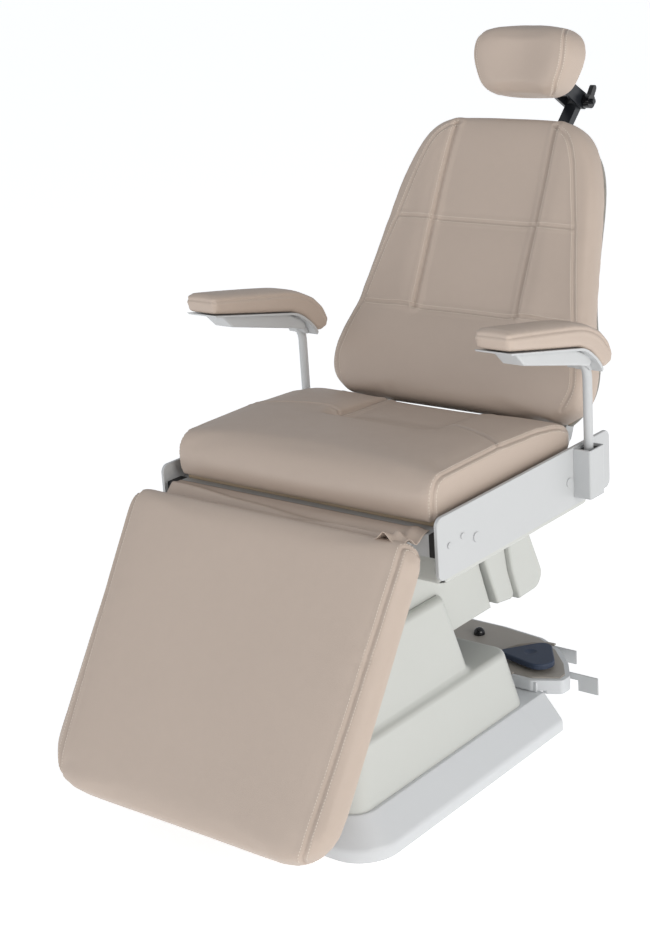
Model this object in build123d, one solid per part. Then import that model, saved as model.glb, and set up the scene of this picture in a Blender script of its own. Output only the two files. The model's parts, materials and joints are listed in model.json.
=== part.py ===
"""Dental patient chair: lifting base, tilting seat, reclining back, foot section, arms and headrest.

Millimetres, +Z up.  The origin is on the floor, on the centre plane, under the middle of the
seat's side plates.  The chair faces -Y and +X is the patient's left.  Every sub-part is its own
solid, or group of loose identical solids, in its own STEP file.
"""
from build123d import *
import os
from math import cos, sin, radians, sqrt

os.makedirs("parts", exist_ok=True)

# ---------------------------------------------------------------- driving dimensions
SIDES = (-1, 1)
RUN_FIT = 0.05            # radial clearance of a pin or rod in its bore
GAP = 0.3                 # air between pieces that only stand beside each other

# base
PLATE_T = 16
PLATE_X, PLATE_Y0, PLATE_Y1 = 232, -418, 106
ANCHOR_X, ANCHOR_Y0, ANCHOR_Y1, ANCHOR_R = 190, -370, 60, 7
FOOT_X, FOOT_Y0, FOOT_Y1 = 205, -330, 20
SKIRT_X, SKIRT_Y0, SKIRT_Y1, SKIRT_R = 248, -434, 122, 70
HEEL_Y0, HEEL_Y1 = -40, 132
SKIRT_EDGE, SKIRT_TOP, SKIRT_WALL, SKIRT_SHOULDER = 20, 66, 4, 14
COVER_FOOT_X, COVER_FOOT_Y0, COVER_FOOT_Y1 = 204, -402, 88
COVER_STEP_X, COVER_STEP_Y0, COVER_STEP_Y1, COVER_STEP_Z = 195, -391, 52, 176
COVER_NECK_X, COVER_NECK_Y0, COVER_NECK_Y1 = 183, -368, -44
COVER_TOP_X, COVER_TOP_Y0, COVER_TOP_Y1, COVER_TOP_Z = 168, -318, -90, 322
COVER_WALL, COVER_EDGE, COVER_VALLEY = 4, 10, 12

# lift columns and drives
COLUMN_X, COLUMN_Y, COLUMN_R, COLUMN_WALL, COLUMN_TOP = 95, -170, 35, 6, 325
INNER_BOTTOM, CARRIAGE_Z0, CARRIAGE_Z1 = 68, 380, 392
LIFT_Y, LIFT_TUBE_R, LIFT_ROD_R = -255, 25, 11
TILT_JACK_Y, TILT_BODY_R, TILT_ROD_R, TILT_PIN_Z, TILT_PIN_R = -80, 22, 9, 440, 5

# shroud and rear covers that ride up with the carriage
SHROUD_X, SHROUD_Y0, SHROUD_WALL = 150, -290, 3
HINGE_Y, HINGE_Z = 140, 392                # seat tilt hinge
REAR_FRONT_X, REAR_BACK_X = 162, 171

# seat
SIDE_IN, SIDE_OUT = 279, 285
SIDE_Y0, SIDE_Y1, SIDE_Z0, SIDE_Z1 = -270, 245, 430, 533
RAIL_X0, RAIL_Z0, RAIL_Z1, RAIL_Y0, RAIL_Y1 = 243, 434, 500, -228, 225
DECK_Z0, DECK_Z1 = 470, 474
PAN_X, PAN_Y0, PAN_Y1, PAN_Z0, PAN_Z1, PAN_WALL = 270, -239, 200, 411, 430, 3
NOSE_X, NOSE_Y0 = 215, -278
TUBE_Y0, TUBE_Y1, TUBE_Z0, TUBE_Z1, TUBE_X = -262, -229, 466, 503, 263
BOARD_Z0, BOARD_Z1 = 500, 512
SEAT_X = 272

# armrests
SOCKET_X0, SOCKET_X1, SOCKET_Y0, SOCKET_Y1, SOCKET_Z0, SOCKET_Z1 = 285, 318.4, 126, 171, 446, 531
SOCKET_WALL = 3
POST_R, POST_X, POST_Y, POST_FOOT_Z, POST_BEND_Z, POST_BEND_R = 8, 301.7, 148.5, 453, 648, 45
PAD_X, PAD_HALF = 298, 36.5

# back: its own plane, x across, y up the back, z out of the front face
BACK_LEAN = 26.4
BACK_Y, BACK_Z = 233, 716
RECLINE_Y, RECLINE_Z, RECLINE_PIN_R = 190, 520, 10
BACK_PAD_T, BACK_BOARD_T, BACK_SHELL_T = 55, 10, 42
BAR_HALF_X, BAR_HALF_T, BAR_DEPTH = 12.5, 5, 129
KNUCKLE_V, KNUCKLE_DEPTH, BEND_V = 456, 219, 217

# headrest
HEAD_LEAN, HEAD_Y, HEAD_Z = 12, 470, 1119
HEAD_HALF_T = 38
HEAD_PIN_UP, HEAD_PIN_BACK = -20, 72

# foot section: its own plane, x across, y up the panel, z out of the front face
FOOT_DROP = 56.9
FOOT_TOP_Y, FOOT_TOP_Z, FOOT_LENGTH, FOOT_HALF = -337, 528, 515, 290
FOOT_PAD_T, FOOT_BOARD_T, FOOT_TOP_R, FOOT_LOW_R = 42, 7.5, 42, 84
FOOT_PIN_DOWN, FOOT_PIN_DEPTH, FOOT_PIN_R = 20, 65, 8

# foot control
CONTROL_TOP_Z, CONTROL_BOTTOM_Z = 88, 62
BUTTON_X, BUTTON_Y, BUTTON_R = 2, 240, 10.6
ROCKER_X, ROCKER_Y, ROCKER_Z = 156, 192, 80
ROCKER_UNDER, ROCKER_TOP = 97, 107
RIDGE_X, RIDGE_Y, RIDGE_R, RIDGE_W = 152, 194, 74, 6
ROCKER_ROUNDS = ((106, 172, 10), (152, 218, 20), (178, 172, 26))

BACK = Plane(origin=(0, BACK_Y, BACK_Z), x_dir=(1, 0, 0),
             z_dir=(0, -cos(radians(BACK_LEAN)), sin(radians(BACK_LEAN))))
HEAD = Plane(origin=(0, HEAD_Y, HEAD_Z), x_dir=(1, 0, 0),
             z_dir=(0, -cos(radians(HEAD_LEAN)), sin(radians(HEAD_LEAN))))
FOOT = Plane(origin=(0, FOOT_TOP_Y, FOOT_TOP_Z), x_dir=(1, 0, 0),
             z_dir=(0, -sin(radians(FOOT_DROP)), cos(radians(FOOT_DROP))))


# ---------------------------------------------------------------- shape helpers
def block(x0, x1, y0, y1, z0, z1):
    """Box between opposite corners."""
    size = Box(abs(x1 - x0), abs(y1 - y0), abs(z1 - z0))
    return Pos((x0 + x1) / 2, (y0 + y1) / 2, (z0 + z1) / 2) * size


def rod_z(x, y, radius, z0, z1):
    """Upright cylinder."""
    return Pos(x, y, (z0 + z1) / 2) * Cylinder(radius, z1 - z0)


def rod_x(y, z, radius, x0, x1):
    """Cylinder that lies across the chair."""
    return Pos((x0 + x1) / 2, y, z) * Rot(0, 90, 0) * Cylinder(radius, abs(x1 - x0))


def slab(points, z0, z1):
    """Prism on a plan outline."""
    face = make_face(Polyline(*points, close=True))
    return Pos(0, 0, z0) * extrude(face, z1 - z0)


def side_plate(points, x0, x1):
    """Prism on a side outline of (y, z) points, from x0 to x1."""
    outline = Polyline(*[(min(x0, x1), y, z) for y, z in points], close=True)
    return extrude(make_face(outline), abs(x1 - x0), dir=(1, 0, 0))


def rounded(half_x, y0, y1, radius, z):
    """Rounded rectangle in plan at height z."""
    return Pos(0, (y0 + y1) / 2, z) * RectangleRounded(2 * half_x, y1 - y0, radius)


def tapered(lower, z0, upper, z1):
    """Loft between two rounded rectangles given as (half_x, y0, y1, radius)."""
    return loft([rounded(*lower, z0), rounded(*upper, z1)])


def soft_top(body, radius):
    """The body with its uppermost edges rounded."""
    return fillet(body.edges().group_by(Axis.Z)[-1], radius)


def shrink(rectangle, wall):
    """The same rounded rectangle, one wall thickness smaller all round."""
    half_x, y0, y1, radius = rectangle
    return half_x - wall, y0 + wall, y1 - wall, max(radius - wall, 2)


def both_sides(shape):
    """A piece and its mirror image across the centre plane, as one group."""
    return Compound(children=[shape, mirror(shape, about=Plane.YZ)])


def mirrored(shape, side):
    """The piece itself for the +X side, its mirror image for the -X side."""
    return shape if side > 0 else mirror(shape, about=Plane.YZ)


def link_plate(y0, z0, r0, y1, z1, r1, x0, x1):
    """Flat lever with a round end at each of two centres."""
    ends = rod_x(y0, z0, r0, x0, x1) + rod_x(y1, z1, r1, x0, x1)
    length = sqrt((y1 - y0) ** 2 + (z1 - z0) ** 2)
    across = ((z1 - z0) / length, -(y1 - y0) / length)
    waist = [(y0 + across[0] * r0, z0 + across[1] * r0), (y1 + across[0] * r1, z1 + across[1] * r1),
             (y1 - across[0] * r1, z1 - across[1] * r1), (y0 - across[0] * r0, z0 - across[1] * r0)]
    return ends + side_plate(waist, x0, x1)


def on_plane(plane, x, up, out):
    """World (y, z) of a point given in one of the tilted planes."""
    point = plane.from_local_coords(Vector(x, up, out))
    return point.Y, point.Z


# ---------------------------------------------------------------- base
def base_plate():
    """Floor plate with four anchor holes at its corners and tapped holes for the feet."""
    plate = extrude(rounded(PLATE_X, PLATE_Y0, PLATE_Y1, 55, 0), PLATE_T)
    for x in (-ANCHOR_X, ANCHOR_X):
        for y in (ANCHOR_Y0, ANCHOR_Y1):
            plate -= rod_z(x, y, ANCHOR_R, -1, PLATE_T + 1)
    for x in (-FOOT_X, FOOT_X):
        for y in (FOOT_Y0, FOOT_Y1):
            plate -= rod_z(x, y, 5, -1, PLATE_T + 1)
    return plate


def levelling_feet():
    """Four levelling screws with a hexagon head above the plate."""
    feet = []
    for x in (-FOOT_X, FOOT_X):
        for y in (FOOT_Y0, FOOT_Y1):
            head = Pos(x, y, PLATE_T) * extrude(RegularPolygon(8, 6), 8)
            feet.append(rod_z(x, y, 5, 0, PLATE_T) + head)
    return Compound(children=feet)


def skirt_tail(inset):
    """The skirt's section, a hair inside it, carried straight back to two square corners."""
    step = 0.4 + inset
    half, top = SKIRT_X - step, COVER_FOOT_X + 6 - step
    low = -2 if inset else 0
    points = [(-half, low), (half, low), (half, SKIRT_EDGE), (top, SKIRT_TOP - step),
              (-top, SKIRT_TOP - step), (-half, SKIRT_EDGE)]
    rear = Plane(origin=(0, HEEL_Y1 - step, 0), x_dir=(1, 0, 0), z_dir=(0, -1, 0))
    body = extrude(rear * make_face(Polyline(*points, close=True)), HEEL_Y1 - step - HEEL_Y0)
    if inset:
        return body
    long_edges = body.edges().filter_by(Axis.Y)
    body = fillet(long_edges.filter_by(lambda e: abs(e.center().Z - SKIRT_EDGE) < 0.1), SKIRT_SHOULDER)
    return fillet(body.edges().filter_by(Axis.Y).group_by(Axis.Z)[-1], 3)


def base_skirt():
    """Sloping moulded skirt over the floor plate, open below and in the middle."""
    floor_line = (SKIRT_X, SKIRT_Y0, SKIRT_Y1, SKIRT_R)
    top_line = (COVER_FOOT_X + 6, COVER_FOOT_Y0 - 6, COVER_FOOT_Y1 + 6, 46)
    outer = extrude(rounded(*floor_line, 0), SKIRT_EDGE)
    outer += tapered(floor_line, SKIRT_EDGE, top_line, SKIRT_TOP)
    shoulder = outer.edges().filter_by(lambda e: abs(e.center().Z - SKIRT_EDGE) < 0.1)
    outer = soft_top(fillet(shoulder, SKIRT_SHOULDER), 3)
    inner = extrude(rounded(*shrink(floor_line, SKIRT_WALL), -1), SKIRT_EDGE + 1)
    inner += tapered(shrink(floor_line, SKIRT_WALL), SKIRT_EDGE,
                     shrink(top_line, SKIRT_WALL), SKIRT_TOP - SKIRT_WALL)
    hole = extrude(rounded(COVER_FOOT_X - 14, COVER_FOOT_Y0 + 14, COVER_FOOT_Y1 - 14, 30, 30), 60)
    return outer + skirt_tail(0) - inner - skirt_tail(SKIRT_WALL) - hole


def lower_cover():
    """Stepped fixed cover: a wide foot, a ledge and a leaning neck that the shroud slides in."""
    foot = (COVER_FOOT_X, COVER_FOOT_Y0, COVER_FOOT_Y1, 34)
    step = (COVER_STEP_X, COVER_STEP_Y0, COVER_STEP_Y1, 30)
    neck = (COVER_NECK_X, COVER_NECK_Y0, COVER_NECK_Y1, 26)
    top = (COVER_TOP_X, COVER_TOP_Y0, COVER_TOP_Y1, 22)
    outer = soft_top(tapered(foot, SKIRT_TOP, step, COVER_STEP_Z), COVER_EDGE)
    outer += soft_top(tapered(neck, COVER_STEP_Z, top, COVER_TOP_Z), COVER_EDGE)
    valley = outer.edges().filter_by(lambda e: abs(e.center().Z - COVER_STEP_Z) < 0.01)
    outer = fillet(valley.filter_by(lambda e: abs(e.center().X) < COVER_NECK_X + 0.5), COVER_VALLEY)
    inner_edge = COVER_EDGE - COVER_WALL
    inner = soft_top(tapered(shrink(foot, COVER_WALL), SKIRT_TOP, shrink(step, COVER_WALL),
                             COVER_STEP_Z - COVER_WALL), inner_edge)
    inner += soft_top(tapered(shrink(neck, COVER_WALL), COVER_STEP_Z - COVER_WALL - inner_edge,
                              shrink(top, COVER_WALL), COVER_TOP_Z - 3), inner_edge)
    mouth_x = SHROUD_X + 2
    mouth = block(-mouth_x, mouth_x, SHROUD_Y0 - 2, COVER_STEP_Y1 + 30, COVER_STEP_Z, COVER_TOP_Z + 20)
    return outer - inner - mouth


def guide_tubes():
    """Two fixed guide columns with a foot flange each."""
    tubes = []
    for x in (-COLUMN_X, COLUMN_X):
        tube = rod_z(x, COLUMN_Y, COLUMN_R, PLATE_T, COLUMN_TOP)
        tube += rod_z(x, COLUMN_Y, 52, PLATE_T, PLATE_T + 10)
        tubes.append(tube - rod_z(x, COLUMN_Y, COLUMN_R - COLUMN_WALL, PLATE_T, COLUMN_TOP + 1))
    return Compound(children=tubes)


def lift_tube():
    """Outer tube of the screw jack that raises the carriage."""
    tube = rod_z(0, LIFT_Y, LIFT_TUBE_R, PLATE_T + 34, 320)
    return tube - rod_z(0, LIFT_Y, LIFT_ROD_R + RUN_FIT, 58, 321)


def lift_motor():
    """Worm gearbox under the jack with its motor lying across the base."""
    gearbox = block(-34, 34, LIFT_Y - 30, LIFT_Y + 30, PLATE_T, PLATE_T + 34 - GAP)
    motor = Pos(95, LIFT_Y, PLATE_T + 25) * Rot(0, 90, 0) * Cylinder(24, 122)
    return gearbox + motor


# ---------------------------------------------------------------- foot control
def control_outline(inset):
    """Plan of the foot control, with an angled front corner and a rounded rear."""
    points = [(-112, 120), (190, 120), (240, 148), (240, 172), (212, 213), (166, 259), (112, 288), (21, 299),
              (-112, 299)]
    face = make_face(Polyline(*points, close=True))
    face = fillet(face.vertices().filter_by(lambda v: v.Y > 175), 30)
    face = fillet(face.vertices().filter_by(lambda v: v.Y < 173 and v.X > 100), 10)
    return offset(face, -inset, kind=Kind.INTERSECTION) if inset else face


def control_housing():
    """Shallow open-bottomed housing with a leg beside the skirt and a gimbal cradle inside."""
    outer = Pos(0, 0, CONTROL_BOTTOM_Z) * extrude(control_outline(0), CONTROL_TOP_Z - CONTROL_BOTTOM_Z)
    inner = extrude(control_outline(4), CONTROL_TOP_Z - CONTROL_BOTTOM_Z - 5)
    inner = Pos(0, 0, CONTROL_BOTTOM_Z - 1) * inner
    skirt_room = block(-300, SKIRT_X + 1, 0, HEEL_Y1 + 2, 0, SKIRT_TOP + 2)
    housing = outer - inner - skirt_room
    for x in (-96, 150):
        housing += block(x, x + 50, 122, HEEL_Y1 - 2, SKIRT_TOP, CONTROL_TOP_Z - 4)
    housing += block(-96, -66, 250, 276, 0, CONTROL_TOP_Z - 4)
    for side in SIDES:
        ear = block(ROCKER_X + side * 25, ROCKER_X + side * 30, ROCKER_Y - 6, ROCKER_Y + 6, ROCKER_Z - 6, 86)
        housing += ear - rod_x(ROCKER_Y, ROCKER_Z, 2 + RUN_FIT, ROCKER_X - 40, ROCKER_X + 40)
    housing -= rod_z(ROCKER_X, ROCKER_Y, 24, ROCKER_Z - 8, CONTROL_TOP_Z + 1)
    housing -= rod_z(BUTTON_X, BUTTON_Y, BUTTON_R + 0.1, CONTROL_BOTTOM_Z, CONTROL_TOP_Z + 1)
    housing += rod_z(BUTTON_X, BUTTON_Y, 15, 66, 69)
    housing += rod_z(BUTTON_X, BUTTON_Y, 15, 66, 85) - rod_z(BUTTON_X, BUTTON_Y, 12.5, 65, 86)
    return housing


def control_top():
    """Grey top plate with a raised curved ridge round the rocker."""
    plate = Pos(0, 0, CONTROL_TOP_Z) * extrude(control_outline(9), 3)
    ridge_ring = rod_z(RIDGE_X, RIDGE_Y, RIDGE_R, CONTROL_TOP_Z + 3, CONTROL_TOP_Z + 6)
    ridge_ring -= rod_z(RIDGE_X, RIDGE_Y, RIDGE_R - RIDGE_W, CONTROL_TOP_Z + 2, CONTROL_TOP_Z + 7)
    plate += ridge_ring & block(20, RIDGE_X, 120, 290, CONTROL_TOP_Z, CONTROL_TOP_Z + 8)
    plate -= rod_z(RIDGE_X, RIDGE_Y, RIDGE_R - RIDGE_W, CONTROL_TOP_Z + 1.2, CONTROL_TOP_Z + 4)
    plate -= rod_z(ROCKER_X, ROCKER_Y, 13, CONTROL_TOP_Z - 1, CONTROL_TOP_Z + 4)
    plate -= rod_z(BUTTON_X, BUTTON_Y, BUTTON_R + 0.1, CONTROL_TOP_Z - 1, CONTROL_TOP_Z + 4)
    return plate


def foot_button():
    """Domed push button for the base height."""
    dome = Pos(BUTTON_X, BUTTON_Y, 94) * Sphere(BUTTON_R) & block(-20, 20, 220, 270, 94, 110)
    return rod_z(BUTTON_X, BUTTON_Y, BUTTON_R, 82, 94) + dome


def button_spring():
    """Return spring of the push button."""
    turns = Helix(pitch=3.2, height=11, radius=8)
    wire = sweep((turns ^ 0) * Circle(0.6), path=turns, is_frenet=True)
    return Pos(BUTTON_X, BUTTON_Y, 69.8) * wire


def gimbal_ring():
    """Ring between the housing and the rocker, on pins at its two ends."""
    ring = rod_z(ROCKER_X, ROCKER_Y, 22, ROCKER_Z - 4, ROCKER_Z + 4)
    ring -= rod_z(ROCKER_X, ROCKER_Y, 14.5, ROCKER_Z - 5, ROCKER_Z + 5)
    cross_bore = Pos(ROCKER_X, ROCKER_Y, ROCKER_Z) * Rot(90, 0, 0) * Cylinder(2 + RUN_FIT, 60)
    pins = rod_x(ROCKER_Y, ROCKER_Z, 2, ROCKER_X + 18, ROCKER_X + 29)
    pins += rod_x(ROCKER_Y, ROCKER_Z, 2, ROCKER_X - 29, ROCKER_X - 18)
    return ring - cross_bore + pins


def foot_rocker():
    """Drop-shaped rocker that drives the seat and back, on a stem and a cross pin."""
    rounds = [Pos(x, y) * Circle(r) for x, y, r in ROCKER_ROUNDS]
    face = make_hull([edge for circle in rounds for edge in circle.edges()])
    pad = Pos(0, 0, ROCKER_UNDER) * extrude(face, ROCKER_TOP - ROCKER_UNDER)
    pad = fillet(pad.edges().group_by(Axis.Z)[-1], 3)
    pad -= Pos(ROCKER_X - 8, ROCKER_Y - 3, ROCKER_TOP + 22) * Sphere(25)
    stem = rod_z(ROCKER_X, ROCKER_Y, 9, ROCKER_Z - 4, ROCKER_UNDER + 1)
    pin = Pos(ROCKER_X, ROCKER_Y, ROCKER_Z) * Rot(90, 0, 0) * Cylinder(2, 42)
    return pad + stem + pin


def cable_hooks():
    """Two sheet-metal hooks that stand out from the rear right of the foot control."""
    housing = extrude(control_outline(0), CONTROL_TOP_Z)
    hooks = []
    for y, x0, x1, top, low, reach in ((200, 200, 280, 80, 48, 40), (272, 110, 193, 86, 60, 30)):
        arm = block(x0, x1, y - 1.5, y + 1.5, top - 12, top)
        drop = block(x1 - reach, x1, y - 1.5, y + 1.5, low, top)
        hooks.append((arm + drop) - housing)
    return Compound(children=hooks)


def power_inlet():
    """Recessed mains inlet on the hidden left side of the foot control."""
    body = block(-130, -112 - GAP / 3, 148, 182, 64, 86)
    body -= block(-131, -118, 152, 178, 68, 82)
    for y in (158, 165, 172):
        body += block(-126, -117, y - 1, y + 1, 73, 77)
    return body


# ---------------------------------------------------------------- carriage
def inner_columns():
    """Two moving columns that run inside the guide tubes."""
    radius = COLUMN_R - COLUMN_WALL - RUN_FIT
    columns = [rod_z(side * COLUMN_X, COLUMN_Y, radius, INNER_BOTTOM, CARRIAGE_Z0)
               - rod_z(side * COLUMN_X, COLUMN_Y, radius - 5, INNER_BOTTOM - 1, CARRIAGE_Z0 - 8)
               for side in SIDES]
    return Compound(children=columns)


def lift_rod():
    """Moving rod of the lift jack with its top flange."""
    return rod_z(0, LIFT_Y, LIFT_ROD_R, 114, CARRIAGE_Z0) + rod_z(0, LIFT_Y, 20, CARRIAGE_Z0 - 8, CARRIAGE_Z0)


def carriage_frame():
    """Deck on top of the columns, with lugs for the tilt hinge at its rear."""
    deck = extrude(rounded(140, -284, 118, 12, CARRIAGE_Z0), CARRIAGE_Z1 - CARRIAGE_Z0)
    for side in SIDES:
        deck += block(side * 86, side * 108, 100, HINGE_Y, CARRIAGE_Z0, CARRIAGE_Z1)
        deck += rod_x(HINGE_Y, HINGE_Z, 15, side * 98, side * 108)
        deck += block(side * 98, side * 108, HINGE_Y - 30, HINGE_Y, HINGE_Z - 12, HINGE_Z + 8)
        deck -= rod_x(HINGE_Y, HINGE_Z, 9, side * 80, side * 130)
    return deck - rod_z(0, TILT_JACK_Y, TILT_ROD_R + 2, CARRIAGE_Z0 - 1, CARRIAGE_Z1 + 1)


def tilt_pins():
    """Hinge pins of the seat tilt, pressed into the carriage lugs."""
    pins = [rod_x(HINGE_Y, HINGE_Z, 9, side * 96, side * 124) for side in SIDES]
    return Compound(children=pins)


def tilt_jack_body():
    """Body of the seat tilt jack under the deck, with its motor beside it."""
    body = rod_z(0, TILT_JACK_Y, TILT_BODY_R, 236, CARRIAGE_Z0)
    body -= rod_z(0, TILT_JACK_Y, TILT_ROD_R + RUN_FIT, 250, 400)
    motor = rod_z(0, TILT_JACK_Y + 52, 20, 240, 340)
    motor += block(-16, 16, TILT_JACK_Y + 18, TILT_JACK_Y + 56, 238, 262)
    return body + motor


def tilt_rod():
    """Rod of the tilt jack, with a slotted head that carries the seat's cross pin."""
    head = block(-9, 9, TILT_JACK_Y - 13, TILT_JACK_Y + 34, TILT_PIN_Z - 13, TILT_PIN_Z + 13)
    slot_half = TILT_PIN_R + 0.8
    head -= block(-10, 10, TILT_JACK_Y, TILT_JACK_Y + 21, TILT_PIN_Z - slot_half, TILT_PIN_Z + slot_half)
    head -= rod_x(TILT_JACK_Y, TILT_PIN_Z, slot_half, -10, 10)
    head -= rod_x(TILT_JACK_Y + 21, TILT_PIN_Z, slot_half, -10, 10)
    return rod_z(0, TILT_JACK_Y, TILT_ROD_R, 254, TILT_PIN_Z - 12.9) + head


def shroud():
    """Inner cover that slides in the fixed cover and overhangs it behind."""
    outline = [(SHROUD_Y0, 128), (-72, 128), (-72, 240), (64, 240), (18, 372), (SHROUD_Y0, 372)]
    outer = side_plate(outline, -SHROUD_X, SHROUD_X)
    inner_line = [(SHROUD_Y0 + 3, 120), (-75, 120), (-75, 236), (61, 236), (15, 369), (SHROUD_Y0 + 3, 369)]
    inner = side_plate(inner_line, -SHROUD_X + SHROUD_WALL, SHROUD_X - SHROUD_WALL)
    outer = fillet(outer.edges().filter_by(Axis.Z).sort_by(Axis.Y)[:2], 14)
    top_hole = block(-138, 138, -284, -12, 360, 380)
    under = side_plate([(-76, 200), (56, 230), (56, 244), (-76, 244)], -140, 140)
    return outer - inner - top_hole - under


def rear_cover(half_x, outline, corner_z, radius):
    """Closed bulged cover behind the shroud, rounded along its lower rear corner."""
    body = side_plate(outline, -half_x, half_x)
    low = body.edges().filter_by(Axis.X).filter_by(lambda e: e.center().Z < corner_z).sort_by(Axis.Y)[-1]
    body = fillet(low, radius)
    rims = body.edges().filter_by(lambda e: abs(abs(e.center().X) - half_x) < 0.01)
    return fillet(rims, 5)


def rear_cover_front():
    return rear_cover(REAR_FRONT_X, [(24, 368), (72, 246), (126, 238), (104, 300), (92, 368)], 250, 10)


def rear_cover_rear():
    return rear_cover(REAR_BACK_X, [(93, 368), (105, 300), (127, 238), (213, 240), (154, 368)], 250, 26)


# ---------------------------------------------------------------- seat
def seat_frame():
    """Welded frame: two rails, a deck, lugs for tilt, recline and foot section."""
    frame = block(-RAIL_X0, RAIL_X0, RAIL_Y0, 150, DECK_Z0, DECK_Z1)
    frame += block(-RAIL_X0, RAIL_X0, 112, 150, RAIL_Z0, DECK_Z0)
    for side in SIDES:
        frame += block(side * RAIL_X0, side * SIDE_IN, RAIL_Y0, RAIL_Y1, RAIL_Z0, RAIL_Z1)
        tilt_lug = link_plate(HINGE_Y, HINGE_Z, 14, HINGE_Y, RAIL_Z0 + 10, 14, side * 110, side * 122)
        frame += tilt_lug - rod_x(HINGE_Y, HINGE_Z, 9 + RUN_FIT, side * 105, side * 130)
        for x0, x1 in ((188, 200), (220, 230)):
            lug = link_plate(RECLINE_Y, RECLINE_Z, 17, 140, 452, 17, side * x0, side * x1)
            lug -= block(side * x0, side * x1, 100, 154, BOARD_Z0 - 1, 560)
            frame += lug - rod_x(RECLINE_Y, RECLINE_Z, RECLINE_PIN_R + RUN_FIT, side * x0, side * x1)
        frame += block(side * 11, side * 18, TILT_JACK_Y - 18, TILT_JACK_Y + 14, 428, DECK_Z0)
    return frame + rod_x(TILT_JACK_Y, TILT_PIN_Z, TILT_PIN_R, -21, 21)


def front_cross_tube():
    """Rectangular cross tube at the front, with the foot section's hinge lugs."""
    tube = block(-TUBE_X, TUBE_X, TUBE_Y0, TUBE_Y1, TUBE_Z0, TUBE_Z1)
    tube -= block(-TUBE_X - 1, TUBE_X + 1, TUBE_Y0 + 3, TUBE_Y1 - 3, TUBE_Z0 + 3, TUBE_Z1 - 3)
    pin_y, pin_z = on_plane(FOOT, 0, -FOOT_PIN_DOWN, -FOOT_PIN_DEPTH)
    for side in SIDES:
        for x0, x1 in ((200, 208), (222, 230)):
            lug = link_plate(pin_y, pin_z, 12.5, TUBE_Y0 - 8, pin_z, 12.5, side * x0, side * x1)
            lug += block(side * x0, side * x1, TUBE_Y0 - 8, TUBE_Y0, pin_z - 12.5, pin_z + 12.5)
            tube += lug - rod_x(pin_y, pin_z, FOOT_PIN_R + RUN_FIT, side * x0, side * x1)
    return tube


def tube_end_caps():
    """Black plastic caps between the cross tube and the side plates."""
    cap = block(TUBE_X, SIDE_IN, TUBE_Y0, TUBE_Y1, TUBE_Z0, TUBE_Z1)
    cap += block(TUBE_X - 12, TUBE_X, TUBE_Y0 + 4, TUBE_Y1 - 4, TUBE_Z0 + 4, TUBE_Z1 - 4)
    return both_sides(cap)


def seat_pan():
    """Moulded tray under the seat frame, with a narrower nose at its front."""
    pan = block(-PAN_X, PAN_X, PAN_Y0, PAN_Y1, PAN_Z0, PAN_Z1)
    pan = fillet(pan.edges().filter_by(Axis.Z), 16)
    pan = fillet(pan.edges().group_by(Axis.Z)[0], 8)
    pan -= block(-PAN_X + PAN_WALL, PAN_X - PAN_WALL, PAN_Y0 + PAN_WALL, PAN_Y1 - PAN_WALL,
                 PAN_Z0 + PAN_WALL, 500)
    for side in SIDES:
        pan += block(side * (NOSE_X - 2), side * (PAN_X - 14), PAN_Y0, PAN_Y0 + PAN_WALL,
                     PAN_Z0 + 10, TUBE_Z0 - 2)
        pan -= block(side * 107, side * 125, HINGE_Y - 22, HINGE_Y + 22, PAN_Z0 - 1, PAN_Z0 + 5)
    nose_line = [(PAN_Y0 + 2, PAN_Z0 + 3), (NOSE_Y0, PAN_Z0 + 10), (NOSE_Y0 + 4, 452), (PAN_Y0 + 2, 458)]
    nose = side_plate(nose_line, -NOSE_X, NOSE_X)
    nose -= side_plate([(PAN_Y0 + 3, PAN_Z0 + 7), (NOSE_Y0 + 3, PAN_Z0 + 13),
                        (NOSE_Y0 + 7, 449), (PAN_Y0 + 3, 454)],
                       -NOSE_X + 3, NOSE_X - 3)
    pan += nose
    return pan - block(-14, 14, TILT_JACK_Y - 32, TILT_JACK_Y + 16, PAN_Z0 - 1, PAN_Z0 + 5)


def seat_side_plate(side):
    """Long flat side plate with rounded corners and holes for its fasteners."""
    plate = block(SIDE_IN, SIDE_OUT, SIDE_Y0, SIDE_Y1, SIDE_Z0, SIDE_Z1)
    plate = fillet(plate.edges().filter_by(Axis.X), 14)
    plate = fillet(plate.faces().sort_by(Axis.X)[-1].edges(), 1.2)
    for y, z, radius in FASTENERS:
        plate -= rod_x(y, z, radius * 0.5, SIDE_IN - 1, SIDE_OUT + 1)
    return mirrored(plate, side)


FASTENERS = ((-240, 482, 5), (-204, 486, 5), (-167, 472, 8), (111, 476, 8))


def plate_fasteners():
    """Low round screw heads on both side plates, their shanks in the rails."""
    screws = []
    for y, z, radius in FASTENERS:
        screw = rod_x(y, z, radius, SIDE_OUT, SIDE_OUT + 1.6) + rod_x(y, z, radius * 0.5, SIDE_IN, SIDE_OUT)
        screws += [screw, mirror(screw, about=Plane.YZ)]
    return Compound(children=screws)


def arm_socket(side):
    """Rectangular steel pocket on the side plate that holds the arm post's bush."""
    body = block(SOCKET_X0, SOCKET_X1, SOCKET_Y0, SOCKET_Y1, SOCKET_Z0, SOCKET_Z1)
    body = fillet(body.edges().filter_by(Axis.Z).sort_by(Axis.X)[-2:], 4)
    body -= block(SOCKET_X0 + SOCKET_WALL, SOCKET_X1 - SOCKET_WALL, SOCKET_Y0 + SOCKET_WALL,
                  SOCKET_Y1 - SOCKET_WALL, SOCKET_Z0 + 6, SOCKET_Z1 + 1)
    return mirrored(body, side)


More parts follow.
